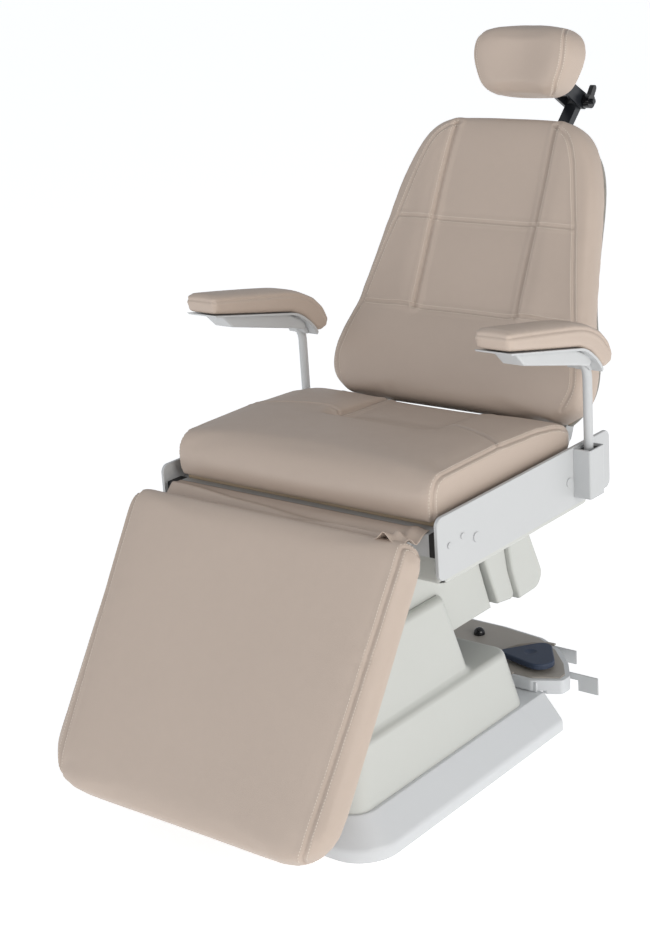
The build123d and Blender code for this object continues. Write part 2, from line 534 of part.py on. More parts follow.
def socket_bushes():
    """Plastic bushes in the sockets, bored for the posts."""
    bush = block(SOCKET_X0 + SOCKET_WALL, SOCKET_X1 - SOCKET_WALL, SOCKET_Y0 + SOCKET_WALL,
                 SOCKET_Y1 - SOCKET_WALL, SOCKET_Z0 + 6, SOCKET_Z1 - 5)
    bush -= rod_z(POST_X, POST_Y, POST_R + RUN_FIT, POST_FOOT_Z - 0.5, SOCKET_Z1)
    return both_sides(bush)


def seat_board():
    """Plywood board under the seat cushion."""
    return block(-262, 262, -227, 148, BOARD_Z0, BOARD_Z1)


def seat_cushion():
    """Seat cushion: waterfall front edge, level top, lower rear."""
    outline = [(-250, 512), (-254, 556), (-232, 592), (-60, 594), (60, 584), (148, 562), (148, 512)]
    cushion = side_plate(outline, -SEAT_X, SEAT_X)
    sides = cushion.edges().filter_by(lambda e: abs(abs(e.center().X) - SEAT_X) < 0.1)
    return fillet(sides.filter_by(lambda e: e.center().Z > 540), 10)


def vinyl_flap():
    """Rear part of the vinyl flap, held between the cross tube and the seat cushion."""
    return block(-258, 258, -270, -252, 504, 507)


def back_motor():
    """Tubular gearmotor on the recline hinge, with a saddle to the frame."""
    motor = rod_x(RECLINE_Y, RECLINE_Z, 19, -140, 140)
    motor -= rod_x(RECLINE_Y, RECLINE_Z, RECLINE_PIN_R + RUN_FIT, 110, 141)
    motor -= rod_x(RECLINE_Y, RECLINE_Z, RECLINE_PIN_R + RUN_FIT, -141, -110)
    saddle = side_plate([(150 + GAP, 440), (168, 440), (194, 505), (176, 512), (156, 480),
                         (150 + GAP, 470)], -30, 30)
    return motor + saddle


def foot_motor():
    """Tubular gearmotor on the foot section's hinge, with a saddle to the cross tube."""
    pin_y, pin_z = on_plane(FOOT, 0, -FOOT_PIN_DOWN, -FOOT_PIN_DEPTH)
    motor = rod_x(pin_y, pin_z, 13, -190, 190)
    for side in SIDES:
        motor -= rod_x(pin_y, pin_z, FOOT_PIN_R + RUN_FIT, side * 160, side * 191)
    return motor + block(-40, 40, TUBE_Y0 - 24, TUBE_Y0, pin_z - 8, pin_z + 8)


# ---------------------------------------------------------------- back
def back_outline(inset, low):
    """Outline of the back in its own plane: wide at the small of the back, narrow at the top."""
    top = 349 - inset
    side = Spline((236 - inset, low), (269 - inset, -107), (243 - inset, 12), (214 - inset, 180),
                  (176 - inset, 308 - inset * 0.3), (110 - inset, top))
    left = mirror(side, about=Plane.YZ)
    return make_face([side, left, Line((110 - inset, top), (-110 + inset, top)),
                      Line((236 - inset, low), (-236 + inset, low))])


def back_slab(inset, low, depth0, depth1):
    """Plate of the back's outline between two depths behind its front face."""
    return BACK * Pos(0, 0, -depth1) * extrude(back_outline(inset, low), depth1 - depth0)


def back_bowl(inset0, inset1, low0, low1, depth0, depth1):
    """Loft of the back's outline that gets smaller towards the rear."""
    near = BACK * Pos(0, 0, -depth0) * back_outline(inset0, low0)
    far = BACK * Pos(0, 0, -depth1) * back_outline(inset1, low1)
    return loft([near, far])


def back_cushion():
    """Back cushion with its thicker lumbar part."""
    lumbar = BACK * Pos(0, -88, 4) * Box(440, 130, 12)
    return back_slab(0, -172, 0, BACK_PAD_T) + lumbar


def back_board():
    return back_slab(12, -166, BACK_PAD_T, BACK_PAD_T + BACK_BOARD_T)


def back_shell():
    """Moulded rear shell, hollow round the frame and open at its lower edge for the hinge arms."""
    front = BACK_PAD_T + BACK_BOARD_T
    rear = front + BACK_SHELL_T
    body = back_bowl(6, 44, -168, -150, front, rear)
    hollow = back_bowl(11, 40, -164, -144, front, rear - 5)
    mouth = BACK * Pos(0, -163, -(front + rear - 5) / 2) * Box(440, 46, BACK_SHELL_T - 5)
    return body - hollow - mouth


def back_frame():
    """Steel frame: two uprights, two cross bars and the recline hinge arms."""
    depth = BACK_PAD_T + BACK_BOARD_T
    middle = -(depth + 12)
    frame = BACK * Pos(0, -138, middle) * Box(430, 40, 24)
    frame += BACK * Pos(0, 210, middle) * Box(220, 40, 24)
    frame += BACK * Pos(0, 36, -(depth + 1.5)) * Box(180, 388, 3)
    for side in SIDES:
        frame += BACK * Pos(side * 90, 36, middle) * Box(40, 388, 24)
        heel = on_plane(BACK, 0, -182, -84)
        frame += link_plate(*on_plane(BACK, 0, -142, -84), 12, *heel, 13, side * 204, side * 214)
        frame += link_plate(*heel, 13, RECLINE_Y, RECLINE_Z, 17, side * 204, side * 214)
        frame -= rod_x(RECLINE_Y, RECLINE_Z, RECLINE_PIN_R, side * 200, side * 218)
    return frame


def recline_pins():
    """Hinge shafts keyed into the back's arms; they run in the seat's lugs and the motor."""
    return both_sides(rod_x(RECLINE_Y, RECLINE_Z, RECLINE_PIN_R, 112, 234))


def headrest_guide():
    """Guide box behind the shell that the headrest bar slides in."""
    rear = BACK_PAD_T + BACK_BOARD_T + BACK_SHELL_T
    body = BACK * Pos(0, 110, -(rear + 18)) * Box(56, 180, 36)
    slot = BACK * Pos(0, 110, -BAR_DEPTH) * Box(2 * BAR_HALF_X + 0.2, 200, 2 * BAR_HALF_T + 0.2)
    knob = BACK * Pos(0, 110, -(rear + 44)) * Cylinder(16, 16)
    return body - slot + knob


def headrest_bar():
    """Flat bar: straight in the guide, then bent rearwards up to the knuckle."""
    straight = BACK * Pos(0, (10 + BEND_V) / 2, -BAR_DEPTH) * Box(2 * BAR_HALF_X, BEND_V - 10, 2 * BAR_HALF_T)
    by, bz = on_plane(BACK, 0, BEND_V, -BAR_DEPTH)
    ky, kz = on_plane(BACK, 0, KNUCKLE_V, -KNUCKLE_DEPTH)
    bent = link_plate(by, bz, BAR_HALF_T, ky, kz, BAR_HALF_T + 3, -BAR_HALF_X, BAR_HALF_X)
    eye = rod_x(ky, kz, 15, -12.3, 12.3)
    return straight + bent + eye - rod_x(ky, kz, 5 + RUN_FIT, -20, 20)


def knuckle():
    """World (y, z) of the lower headrest pivot."""
    return on_plane(BACK, 0, KNUCKLE_V, -KNUCKLE_DEPTH)


def head_pivot():
    """World (y, z) of the upper headrest pivot."""
    return on_plane(HEAD, 0, HEAD_PIN_UP, -HEAD_PIN_BACK)


def headrest_link():
    """Double-eared link between the two headrest pivots, with both pins."""
    ky, kz = knuckle()
    hy, hz = head_pivot()
    link = rod_x(ky, kz, 5, -22, 40) + rod_x(hy, hz, 4, -22, 22)
    for side in SIDES:
        link += link_plate(ky, kz, 15, hy, hz, 13, side * 12.9, side * 19)
    my, mz = (ky + hy) / 2, (kz + hz) / 2
    return link + link_plate(ky + (my - ky) * 0.8, kz + (mz - kz) * 0.8, 9, hy + (my - hy) * 0.75,
                             hz + (mz - hz) * 0.75, 9, -13, 13)


def lock_lever():
    """Clamping lever on the end of the lower pivot pin."""
    ky, kz = knuckle()
    hub = rod_x(ky, kz, 13, 20, 34)
    arm = link_plate(ky, kz, 7, ky + 16, kz + 22, 6, 23, 32)
    return hub + arm - rod_x(ky, kz, 5 + RUN_FIT, 19, 41)


def headrest_bracket():
    """Plate on the back of the headrest with the eye for the upper pivot."""
    plate = HEAD * Pos(0, -6, -(HEAD_HALF_T + 3)) * Box(90, 66, 6)
    stem = HEAD * Pos(0, HEAD_PIN_UP, -(HEAD_HALF_T + HEAD_PIN_BACK) / 2 - 2)
    stem = stem * Box(24.6, 22, HEAD_PIN_BACK - HEAD_HALF_T)
    hy, hz = head_pivot()
    return plate + stem + rod_x(hy, hz, 11, -12.3, 12.3) - rod_x(hy, hz, 4 + RUN_FIT, -20, 20)


def headrest_cushion():
    """Headrest cushion, wider at the top than at the bottom."""
    side = Spline((64, 62), (94, 46), (104, 8), (88, -38), (56, -61))
    left = mirror(side, about=Plane.YZ)
    face = make_face([side, left, Line((64, 62), (-64, 62)), Line((56, -61), (-56, -61))])
    return HEAD * Pos(0, 0, -HEAD_HALF_T) * extrude(face, 2 * HEAD_HALF_T)


# ---------------------------------------------------------------- foot section
def foot_slab(inset, depth0, depth1):
    """Plate in the panel's plane between two depths, with larger round corners at its lower end."""
    face = Pos(0, -FOOT_LENGTH / 2) * Rectangle(2 * (FOOT_HALF - inset), FOOT_LENGTH - 2 * inset)
    middle = -FOOT_LENGTH / 2
    face = fillet(face.vertices().filter_by(lambda v: v.Y > middle), FOOT_TOP_R - inset)
    face = fillet(face.vertices().filter_by(lambda v: v.Y < middle), FOOT_LOW_R - inset)
    return FOOT * Pos(0, 0, -depth1) * extrude(face, depth1 - depth0)


def foot_cushion():
    return foot_slab(0, 0, FOOT_PAD_T)


def foot_board():
    return foot_slab(10, FOOT_PAD_T, FOOT_PAD_T + FOOT_BOARD_T)


def foot_frame():
    """Steel carrier behind the board: plate, two channels and the hinge arms."""
    depth = FOOT_PAD_T + FOOT_BOARD_T
    frame = FOOT * Pos(0, -240, -(depth + 2)) * Box(300, 380, 4)
    frame += FOOT * Pos(0, -58, -(depth + 11)) * Box(439, 32, 22)
    pin_y, pin_z = on_plane(FOOT, 0, -FOOT_PIN_DOWN, -FOOT_PIN_DEPTH)
    for side in SIDES:
        frame += FOOT * Pos(side * 130, -250, -(depth + 12)) * Box(30, 360, 24)
        y1, z1 = on_plane(FOOT, 0, -58, -(depth + 11))
        frame += link_plate(pin_y, pin_z, 13, y1, z1, 11, side * 211.5, side * 219.5)
        frame -= rod_x(pin_y, pin_z, FOOT_PIN_R, side * 205, side * 225)
    return frame


def foot_pins():
    """Hinge shafts keyed into the foot section's arms; they run in the tube's lugs and the motor."""
    pin_y, pin_z = on_plane(FOOT, 0, -FOOT_PIN_DOWN, -FOOT_PIN_DEPTH)
    return both_sides(rod_x(pin_y, pin_z, FOOT_PIN_R, 164, 234))


# ---------------------------------------------------------------- armrests
def arm_post(side):
    """Round post: upright in the socket, bent forwards into the bracket."""
    turn = 60
    foot = Line((POST_X, POST_Y, POST_FOOT_Z), (POST_X, POST_Y, POST_BEND_Z))
    centre_y = POST_Y - POST_BEND_R
    arc_point = [(POST_X, centre_y + POST_BEND_R * cos(radians(a)),
                  POST_BEND_Z + POST_BEND_R * sin(radians(a)))
                 for a in (turn / 2, turn)]
    bend = ThreePointArc((POST_X, POST_Y, POST_BEND_Z), *arc_point)
    end = arc_point[1]
    run = 6
    tail = Line(end, (POST_X, end[1] - run * sin(radians(turn)), end[2] + run * cos(radians(turn))))
    post = sweep(Pos(POST_X, POST_Y, POST_FOOT_Z) * Circle(POST_R), path=Wire([foot, bend, tail]))
    return mirrored(post, side)


def pad_underside():
    """Line under the armrest pad: sloping straight run, then a curve down at the rear."""
    nose = Spline((84, 719), (122, 700), (152, 668), tangents=[(1, -0.2), (0.5, -1)])
    return [Line((-122, 760.5), (84, 719)), nose]


def arm_pad(side):
    """Armrest pad: straight sloping top with a drooping rear end."""
    edges = pad_underside()
    edges += [Line((152, 668), (176, 669)), Line((176, 669), (188, 684)),
              Spline((188, 684), (150, 726), (72, 762), tangents=[(-0.3, 1), (-1, 0.2)]),
              Line((72, 762), (-116, 797)), Line((-116, 797), (-127, 790)), Line((-127, 790), (-122, 760.5))]
    face = make_face([Plane.YZ * edge for edge in edges])
    pad = Pos(PAD_X - PAD_HALF, 0, 0) * extrude(face, 2 * PAD_HALF, dir=(1, 0, 0))
    return mirrored(pad, side)


def arm_bracket(side, post):
    """Channel bracket under the pad, chamfered in front, with a curved wing behind the post."""
    drop = 4
    top = pad_underside()
    bottom = [Line((-118, 760.5 - drop), (82, 719 - drop)),
              Spline((82, 719 - drop), (118, 697), (148, 664), tangents=[(1, -0.2), (0.5, -1)])]
    lid = make_face([Plane.YZ * edge for edge in
                     top + bottom + [Line((-122, 760.5), (-118, 756.5)), Line((152, 668), (148, 664))]])
    bracket = Pos(PAD_X - 33, 0, 0) * extrude(lid, 66, dir=(1, 0, 0))
    channel = [(-96, 754), (-66, 726), (96, 686), (122, 678), (130, 684), (120, 699), (80, 717)]
    body = side_plate(channel, PAD_X - 21, PAD_X + 23)
    lower_rims = body.edges().filter_by(lambda e: e.center().Z < 745 and e.length > 10 and e.center().Y < 115)
    bracket += fillet(lower_rims, 4)
    wing = [(110, 700), (126, 680), (142, 665), (149, 666), (120, 701)]
    bracket += side_plate(wing, PAD_X - 14, PAD_X + 14)
    bracket = mirrored(bracket, side)
    return bracket - post


# ---------------------------------------------------------------- write every sub-part
def build():
    parts = {
        "base_plate": base_plate(), "levelling_feet": levelling_feet(), "base_skirt": base_skirt(),
        "lower_cover": lower_cover(), "guide_tubes": guide_tubes(), "lift_tube": lift_tube(),
        "lift_motor": lift_motor(), "control_housing": control_housing(), "control_top": control_top(),
        "cable_hooks": cable_hooks(), "power_inlet": power_inlet(), "button_spring": button_spring(),
        "foot_button": foot_button(), "gimbal_ring": gimbal_ring(), "foot_rocker": foot_rocker(),
        "inner_columns": inner_columns(), "lift_rod": lift_rod(), "carriage_frame": carriage_frame(),
        "tilt_pins": tilt_pins(), "tilt_jack_body": tilt_jack_body(), "tilt_rod": tilt_rod(),
        "shroud": shroud(), "rear_cover_front": rear_cover_front(), "rear_cover_rear": rear_cover_rear(),
        "seat_frame": seat_frame(), "front_cross_tube": front_cross_tube(),
        "tube_end_caps": tube_end_caps(), "seat_pan": seat_pan(), "plate_fasteners": plate_fasteners(),
        "socket_bushes": socket_bushes(), "seat_board": seat_board(), "seat_cushion": seat_cushion(),
        "vinyl_flap": vinyl_flap(), "back_motor": back_motor(), "foot_motor": foot_motor(),
        "back_cushion": back_cushion(), "back_board": back_board(), "back_shell": back_shell(),
        "back_frame": back_frame(), "recline_pins": recline_pins(), "headrest_guide": headrest_guide(),
        "headrest_bar": headrest_bar(), "headrest_link": headrest_link(), "lock_lever": lock_lever(),
        "headrest_bracket": headrest_bracket(), "headrest_cushion": headrest_cushion(),
        "foot_cushion": foot_cushion(), "foot_board": foot_board(), "foot_frame": foot_frame(),
        "foot_pins": foot_pins(),
    }
    for side, word in ((-1, "right"), (1, "left")):
        post = arm_post(side)
        parts["side_plate_" + word] = seat_side_plate(side)
        parts["arm_socket_" + word] = arm_socket(side)
        parts["arm_post_" + word] = post
        parts["arm_pad_" + word] = arm_pad(side)
        parts["arm_bracket_" + word] = arm_bracket(side, post)
    for name, shape in parts.items():
        export_step(shape, "parts/" + name + ".step")
    print(len(parts), "sub-parts written")


build()
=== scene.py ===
# %% [markdown]
# # A dental chair, dressed around its frame
#
# The chair's steel, covers, hinges and jacks are already modelled and packed.  This lesson adds
# what a person sees first: the upholstery with its seams and stitches, the loose vinyl flap under
# the seat, and the finish of every surface.
#
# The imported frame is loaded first, because every new piece takes its place from it.

# %% Load the frame
import json
import math

import bmesh
import bpy
import numpy as np
from mathutils import Matrix, Vector
from mathutils.bvhtree import BVHTree
from mathutils.kdtree import KDTree


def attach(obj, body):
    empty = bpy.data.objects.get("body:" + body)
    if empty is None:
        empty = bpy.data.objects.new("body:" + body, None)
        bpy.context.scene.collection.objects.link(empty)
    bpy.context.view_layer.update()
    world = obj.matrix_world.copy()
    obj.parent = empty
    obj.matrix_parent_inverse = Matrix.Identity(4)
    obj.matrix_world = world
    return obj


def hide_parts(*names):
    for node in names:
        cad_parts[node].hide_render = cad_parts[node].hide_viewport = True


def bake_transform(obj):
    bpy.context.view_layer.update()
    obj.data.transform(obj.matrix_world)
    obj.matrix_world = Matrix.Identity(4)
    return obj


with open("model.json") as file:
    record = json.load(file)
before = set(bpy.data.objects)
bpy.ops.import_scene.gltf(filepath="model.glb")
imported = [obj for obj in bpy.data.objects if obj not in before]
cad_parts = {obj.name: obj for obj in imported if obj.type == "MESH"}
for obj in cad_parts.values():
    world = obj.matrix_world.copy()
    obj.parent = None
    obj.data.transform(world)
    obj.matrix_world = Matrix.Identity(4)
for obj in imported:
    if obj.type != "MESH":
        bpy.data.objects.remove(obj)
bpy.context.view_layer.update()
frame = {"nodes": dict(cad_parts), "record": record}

MM = 0.001
nodes = frame["nodes"]

# %% [markdown]
# ## Camera, floor and light
#
# The camera stands at the patient's left, in front and above, at about the height of a person's
# eyes.  Its place is given as a point, a heading, a dip below the horizon and a small roll, because
# those are the angles a photographer would name.
#
# The light is soft studio light: one broad panel on the patient's left for the bright side, a
# dimmer one in front on the other side, and a pale room all round.  The floor is a plain pale
# sheet, so that nothing but the chair draws the eye.

# %% Camera
EYE = Vector((1.8216, -2.3915, 1.4891))
HEADING, DIP, ROLL = (math.radians(a) for a in (39.48, 18.45, -3.92))
LENS_MM = 70.0

ahead = Vector((-math.sin(HEADING) * math.cos(DIP), math.cos(HEADING) * math.cos(DIP), -math.sin(DIP)))
across = Vector((math.cos(HEADING), math.sin(HEADING), 0))
over = across.cross(ahead)
right = math.cos(ROLL) * across + math.sin(ROLL) * over
upward = math.cos(ROLL) * over - math.sin(ROLL) * across

lens = bpy.data.cameras.new("camera")
lens.lens = LENS_MM
lens.sensor_width = 36
lens.clip_end = 100
camera = bpy.data.objects.new("camera", lens)
bpy.context.scene.collection.objects.link(camera)
camera.matrix_world = Matrix.Translation(EYE) @ Matrix((right, upward, -ahead)).transposed().to_4x4()
bpy.context.scene.camera = camera
print("camera", round((EYE - Vector((0, 0, 0.55))).length, 2), "m from the seat")

# %% Floor and lights
FLOOR_HALF = 30.0
LOOK_AT = Vector((0, -0.05, 0.55))


def link(piece):
    """Puts a new object in the scene and returns it."""
    bpy.context.scene.collection.objects.link(piece)
    return piece


def soft_panel(name, place, width, height, watts, tint):
    """A square lamp that faces the chair."""
    lamp = bpy.data.lights.new(name, "AREA")
    lamp.shape = "RECTANGLE"
    lamp.size, lamp.size_y = width, height
    lamp.energy, lamp.color = watts, tint
    panel = link(bpy.data.objects.new(name, lamp))
    aim = (LOOK_AT - Vector(place)).to_track_quat("-Z", "Y")
    panel.matrix_world = Matrix.Translation(place) @ aim.to_matrix().to_4x4()
    return panel


soft_panel("side_panel", (4.2, -0.9, 1.5), 3.2, 2.4, 92, (1.0, 0.97, 0.93))
soft_panel("front_panel", (-1.2, -4.2, 1.7), 3.0, 2.2, 46, (0.99, 0.99, 1.0))

room = bpy.data.worlds.new("room")
room.use_nodes = True
room.node_tree.nodes["Background"].inputs["Color"].default_value = (0.93, 0.96, 1.0, 1)
room.node_tree.nodes["Background"].inputs["Strength"].default_value = 0.50
bpy.context.scene.world = room
bpy.context.scene.view_settings.view_transform = "Standard"

bm = bmesh.new()
bmesh.ops.create_grid(bm, x_segments=1, y_segments=1, size=FLOOR_HALF)
sheet_of_floor = bpy.data.meshes.new("floor")
bm.to_mesh(sheet_of_floor)
bm.free()
floor = link(bpy.data.objects.new("floor", sheet_of_floor))
print("floor", 2 * FLOOR_HALF, "m wide and two lamps")

# %% [markdown]
# ## Writing finishes as sums
#
# A finish is a small network of nodes.  Drawing one by hand is slow and hides the idea, so `Wire`
# wraps an output and overloads the arithmetic operators: `0.45 + 0.1 * grain` adds the Math nodes
# by itself.  Every other node comes from `Finish.node`, which takes the node's type, its settings
# and what goes into its sockets.  Patterns read Object coordinates, in metres, so that grain has
# its real size on every piece.


# %% Wires and finishes
class Wire:
    """An output of a node, with arithmetic."""

    def __init__(self, finish, socket):
        self.finish, self.socket = finish, socket

    def sum(self, operation, first, second):
        return self.finish.node("ShaderNodeMath", {"operation": operation}, {0: first, 1: second})

    def __add__(self, other):
        return self.sum("ADD", self, other)

    def __radd__(self, other):
        return self.sum("ADD", other, self)

    def __sub__(self, other):
        return self.sum("SUBTRACT", self, other)

    def __rsub__(self, other):
        return self.sum("SUBTRACT", other, self)

    def __mul__(self, other):
        return self.sum("MULTIPLY", self, other)

    def __rmul__(self, other):
        return self.sum("MULTIPLY", other, self)


class Finish:
    """A material for one of the chair's surfaces."""

    def __init__(self, name, color, roughness, metallic=0.0, coat=0.0):
        self.color, self.roughness = color, roughness
        self.material = bpy.data.materials.new(name)
        self.material.use_nodes = True
        self.tree = self.material.node_tree
        self.shader = self.tree.nodes["Principled BSDF"]
        self.put("Base Color", (*color, 1))
        self.put("Roughness", roughness)
        self.put("Metallic", metallic)
        self.put("Coat Weight", coat)
        self.place = self.node("ShaderNodeTexCoord", output="Object")

    def node(self, kind, settings=None, inputs=None, output=0):
        """Adds a node: its settings first, then the values or wires of its sockets."""
        made = self.tree.nodes.new(kind)
        for name, value in (settings or {}).items():
            setattr(made, name, value)
        for name, value in (inputs or {}).items():
            self.feed(made.inputs[name], value)
        return Wire(self, made.outputs[output])

    def feed(self, socket, value):
        if isinstance(value, Wire):
            self.tree.links.new(value.socket, socket)
        else:
            socket.default_value = value

    def put(self, name, value):
        """Sets or wires one of the shader's own sockets."""
        self.feed(self.shader.inputs[name], value)

    def noise(self, scale, detail=2.0, roughness=0.5):
        """Cloudy pattern with that many lumps to the metre."""
        sockets = {"Vector": self.place, "Scale": scale, "Detail": detail, "Roughness": roughness}
        return self.node("ShaderNodeTexNoise", None, sockets)

    def cells(self, scale):
        """Distance to the nearest point of a scatter, as between the pebbles of a grain."""
        return self.node("ShaderNodeTexVoronoi", None, {"Vector": self.place, "Scale": scale})

    def shade(self, amount, mask):
        """Base colour that darkens by amount where the mask is high."""
        dark = tuple(c * (1 - amount) for c in self.color)
        sockets = {0: mask, 6: (*self.color, 1), 7: (*dark, 1)}
        self.put("Base Color", self.node("ShaderNodeMix", {"data_type": "RGBA"}, sockets, output=2))

    def bump(self, height, depth, edge=0.0):
        """Relief of the given depth in metres, over edges that are eased by edge metres."""
        sockets = {"Strength": 1.0, "Distance": depth, "Height": height}
        if edge:
            sockets["Normal"] = self.node("ShaderNodeBevel", {"samples": 4}, {"Radius": edge})
        self.put("Normal", self.node("ShaderNodeBump", None, sockets))


print("finishes can be written as sums")

# %% [markdown]
# ## The chair's finishes
#
# The upholstery is soft vinyl with a fine pebble grain and a satin sheen.  The steel is powder
# coated, which leaves a very fine orange peel; the covers are moulded and a shade warmer.  The
# rocker of the foot control is dull rubber, its top plate grey plastic, and the parts behind the
# back are black.  A person can only tell such near-white surfaces apart by their sheen and tint,
# so each has its own.


# %% Upholstery and thread
def vinyl():
    finish = Finish("vinyl", (0.512, 0.418, 0.350), 0.44)
    clouds = finish.noise(5, 3)
    pebbles = finish.cells(900) * 0.7 + finish.noise(2400, 1) * 0.5
    finish.shade(0.10, clouds * 0.6 + finish.noise(60, 3) * 0.35 + finish.cells(900) * 0.25)
    finish.put("Roughness", 0.36 + finish.noise(35, 3) * 0.12 + finish.cells(900) * 0.06)
    finish.shader.inputs["Specular IOR Level"].default_value = 0.42
    finish.bump(pebbles, 0.00022)
    return finish.material


def thread():
    finish = Finish("thread", (0.76, 0.68, 0.59), 0.7)
    finish.shade(0.25, finish.noise(2500, 1))
    return finish.material


VINYL, THREAD = vinyl(), thread()


# %% Paint, mouldings, rubber and metal
def painted(name, color, roughness, peel, edge, dust=0.04):
    """Sprayed or moulded surface: faint orange peel, soft edges and a little dust."""
    finish = Finish(name, color, roughness)
    finish.shade(dust, finish.noise(9, 4) * 0.7 + finish.noise(70, 3) * 0.4)
    finish.put("Roughness", roughness - 0.04 + finish.noise(40, 2) * 0.08)
    finish.bump(finish.noise(1100, 2), peel, edge)
    return finish.material


def brushed(name, color, roughness):
    finish = Finish(name, color, roughness, metallic=1.0)
    finish.shade(0.15, finish.noise(120, 4))
    finish.put("Roughness", roughness + finish.noise(300, 3) * 0.15)
    finish.bump(finish.noise(900, 2), 0.00003, 0.0006)
    return finish.material


def plywood():
    finish = Finish("plywood", (0.55, 0.42, 0.28), 0.7)
    stretched = finish.node("ShaderNodeMapping", None, {"Vector": finish.place, "Scale": (6, 90, 300)})
    rings = finish.node("ShaderNodeTexNoise", None, {"Vector": stretched, "Scale": 1.0, "Detail": 4.0})
    finish.shade(0.45, rings)
    finish.bump(rings, 0.0002)
    return finish.material


FINISHES = {
    "upholstery": VINYL,
    "white_paint": painted("white_paint", (0.515, 0.525, 0.530), 0.34, 0.00003, 0.0010),
    "cover_moulding": painted("cover_moulding", (0.530, 0.540, 0.512), 0.42, 0.00004, 0.0020),
    "base_moulding": painted("base_moulding", (0.62, 0.635, 0.65), 0.40, 0.00004, 0.0015),
    "grey_plastic": painted("grey_plastic", (0.36, 0.33, 0.295), 0.45, 0.00006, 0.0008, 0.12),
    "blue_rubber": painted("blue_rubber", (0.030, 0.046, 0.085), 0.55, 0.00008, 0.0008, 0.2),
    "gloss_black": painted("gloss_black", (0.008, 0.008, 0.010), 0.12, 0.00001, 0.0004, 0.1),
    "black_plastic": painted("black_plastic", (0.012, 0.012, 0.013), 0.5, 0.00006, 0.0006, 0.2),
    "black_steel": painted("black_steel", (0.014, 0.016, 0.020), 0.33, 0.00003, 0.0008, 0.2),
    "zinc_steel": brushed("zinc_steel", (0.62, 0.62, 0.62), 0.28),
    "plywood": plywood(),
}
for subpart in frame["record"]["subparts"]:
    for cell in nodes[subpart["node"]].material_slots:
        cell.material = FINISHES[subpart["material_slot"]]
floor_paint = Finish("floor_paint", (0.93, 0.93, 0.93), 0.8)
floor_paint.shade(0.01, floor_paint.noise(3, 2))
floor_paint.put("Emission Color", (1, 1, 1, 1))
floor_paint.put("Emission Strength", 0.55)
floor.data.materials.append(floor_paint.material)
print(len(FINISHES), "finishes on", len(nodes), "frame pieces")

# %% [markdown]
# ## How a cushion is made
#
# A real cushion is foam on a board with a sewn cover pulled over it.  Its skin is taut and
# crowned, it sinks at every seam, and its rear stays flat on the board.  It could be modelled by
# hand with loops along each seam; here it is closer to how the real one gets its shape:
#
# 1. a *blank* is cut a little too small from an outline, and its rims are rounded;
# 2. the blank is remeshed into even squares and given its broad hollows and swells;
# 3. cloth simulation fills it with air for twenty frames, held at the seams and the rear;
# 4. its small wrinkles are calmed and one subdivision smooths it, and then the seams are pressed in
#    and the stitches laid.


# %% Outlines and leaning planes
def leaning(origin, lean):
    """Placement of a leaning piece: x across, y up along it, z out of its front."""
    up = Vector((0, math.sin(lean), math.cos(lean)))
    out = Vector((0, -math.cos(lean), math.sin(lean)))
    place = Matrix((Vector((1, 0, 0)), up, out)).transposed().to_4x4()
    place.translation = origin
    return place


def flowing(points, step):
    """Points about a step apart on a smooth curve through the given ones."""
    points = np.array(points, float)
    ends = [2 * points[0] - points[1], *points, 2 * points[-1] - points[-2]]
    out = []
    for a, b, c, d in zip(ends, ends[1:], ends[2:], ends[3:]):
        count = max(1, int(np.linalg.norm(c - b) / step))
        for t in np.arange(count) / count:
            out.append(0.5 * (2 * b + (c - a) * t + (2 * a - 5 * b + 4 * c - d) * t ** 2
                              + (3 * b - a - 3 * c + d) * t ** 3))
    return np.array(out + [points[-1]])


def corner(x, y, radius, start, turn=90, steps=6):
    """Round corner about a centre, anticlockwise from the start angle."""
    angles = np.radians(start + turn * np.arange(steps + 1) / steps)
    return [(x + radius * math.cos(a), y + radius * math.sin(a)) for a in angles]


SEAT_LEVEL = Matrix.Identity(4)
BACK_PLANE = leaning(Vector((0, 233, 716)) * MM, math.radians(26.4))
HEAD_PLANE = leaning(Vector((0, 470, 1119)) * MM, math.radians(12))
FOOT_PLANE = leaning(Vector((0, -337, 528)) * MM, math.radians(33.1))
print("back, head and foot planes are set")


# %% Cutting the blank
def blank(name, outline, low, high, rim, along_x=False):
    """Closed solid on an outline in millimetres, from low to high, with its rims rounded."""
    bm = bmesh.new()
    face = bm.faces.new([bm.verts.new((x * MM, y * MM, low * MM)) for x, y in outline])
    grown = bmesh.ops.extrude_face_region(bm, geom=[face])
    top = [v for v in grown["geom"] if isinstance(v, bmesh.types.BMVert)]
    bmesh.ops.translate(bm, verts=top, vec=(0, 0, (high - low) * MM))
    bmesh.ops.recalc_face_normals(bm, faces=bm.faces)
    levels = ((high, rim), (low, rim if along_x else rim * 0.4))
    for level, radius in levels:
        edges = [e for e in bm.edges if all(abs(v.co.z - level * MM) < 1e-6 for v in e.verts)]
        bmesh.ops.bevel(bm, geom=edges, offset=radius * MM, segments=4, profile=0.5,
                        affect="EDGES", material=-1, clamp_overlap=True)
    if along_x:
        bmesh.ops.transform(bm, verts=bm.verts, matrix=Matrix(((0, 0, 1, 0), (1, 0, 0, 0),
                                                               (0, 1, 0, 0), (0, 0, 0, 1))))
    mesh = bpy.data.meshes.new(name)
    bm.to_mesh(mesh)
    bm.free()
    return link(bpy.data.objects.new(name, mesh))


def settle(piece):
    """Keeps what the piece's modifiers make, and drops the modifiers."""
    graph = bpy.context.evaluated_depsgraph_get()
    made = bpy.data.meshes.new_from_object(piece.evaluated_get(graph))
    piece.modifiers.clear()
    piece.data = made
    made.name = piece.name
    return piece


